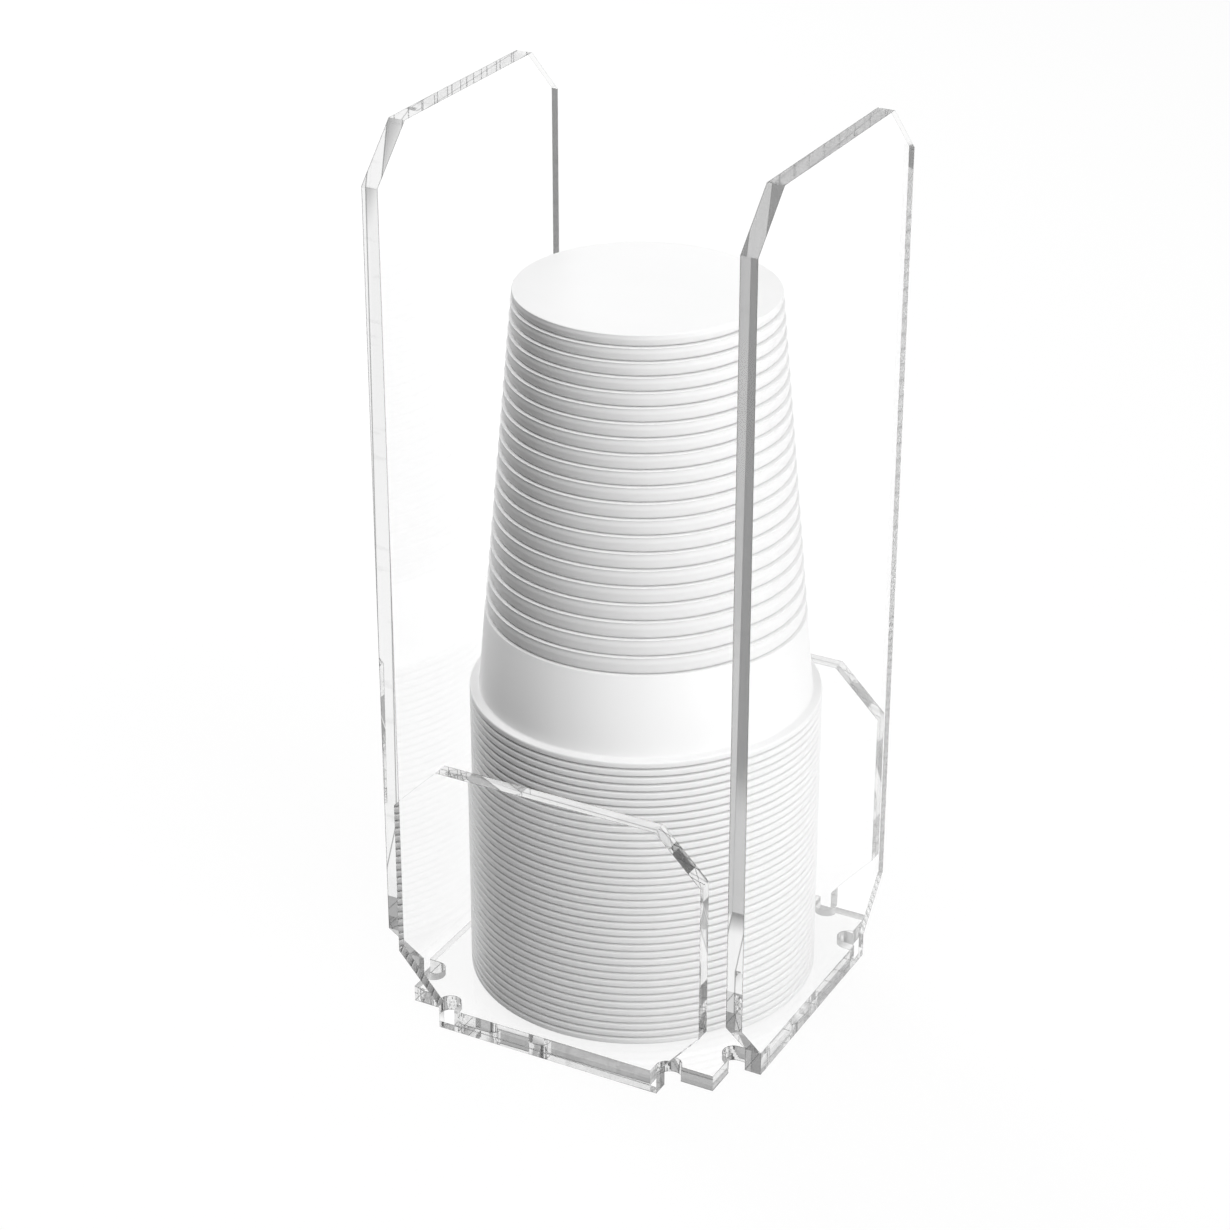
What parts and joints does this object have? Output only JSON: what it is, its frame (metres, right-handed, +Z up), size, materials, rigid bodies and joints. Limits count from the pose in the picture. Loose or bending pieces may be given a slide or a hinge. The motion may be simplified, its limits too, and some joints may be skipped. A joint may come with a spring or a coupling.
{
  "type": "cup holder",
  "caption": "Clear acrylic holder with tall side panels and short front and back panels on a base plate, keeping a stack of upturned disposable cups that lift out of the top.",
  "frame": {"origin": "centre of the square the holder stands on, level with the undersides of the base plate and of the panels' feet", "axes": "+Z up; X runs across the two tall panels, -X to the left one and +X to the right one; -Y points to the short front panel"},
  "size_m": [0.115, 0.115, 0.265],
  "materials": {
    "acrylic": "clear, polished faces and edges",
    "cup_plastic": "white, semi-gloss"
  },
  "bodies": {
    "holder": {"base_plate": "acrylic", "front_panel": "acrylic", "back_panel": "acrylic", "left_panel": "acrylic", "right_panel": "acrylic"},
    "cup_stack": {"cup_01": "cup_plastic", "cup_02": "cup_plastic", "cup_03": "cup_plastic", "cup_04": "cup_plastic", "cup_05": "cup_plastic", "cup_06": "cup_plastic", "cup_07": "cup_plastic", "cup_08": "cup_plastic", "cup_09": "cup_plastic", "cup_10": "cup_plastic", "cup_11": "cup_plastic", "cup_12": "cup_plastic", "cup_13": "cup_plastic", "cup_14": "cup_plastic", "cup_15": "cup_plastic", "cup_16": "cup_plastic", "cup_17": "cup_plastic", "cup_18": "cup_plastic", "cup_19": "cup_plastic", "cup_20": "cup_plastic", "cup_21": "cup_plastic", "cup_22": "cup_plastic", "cup_23": "cup_plastic", "cup_24": "cup_plastic", "cup_25": "cup_plastic", "cup_26": "cup_plastic", "cup_27": "cup_plastic", "cup_28": "cup_plastic", "cup_29": "cup_plastic", "cup_30": "cup_plastic", "cup_31": "cup_plastic", "cup_32": "cup_plastic", "cup_33": "cup_plastic", "cup_34": "cup_plastic", "cup_35": "cup_plastic", "cup_36": "cup_plastic", "cup_37": "cup_plastic"},
    "top_cup": {"top_cup": "cup_plastic"}
  },
  "joints": [
    {"name": "stack_lift", "type": "slide", "parent": "holder", "child": "cup_stack", "axis": [0, 0, 1], "range_m": [0, 0.265]},
    {"name": "top_cup_lift", "type": "slide", "parent": "cup_stack", "child": "top_cup", "axis": [0, 0, 1], "range_m": [0, 0.13]}
  ]
}
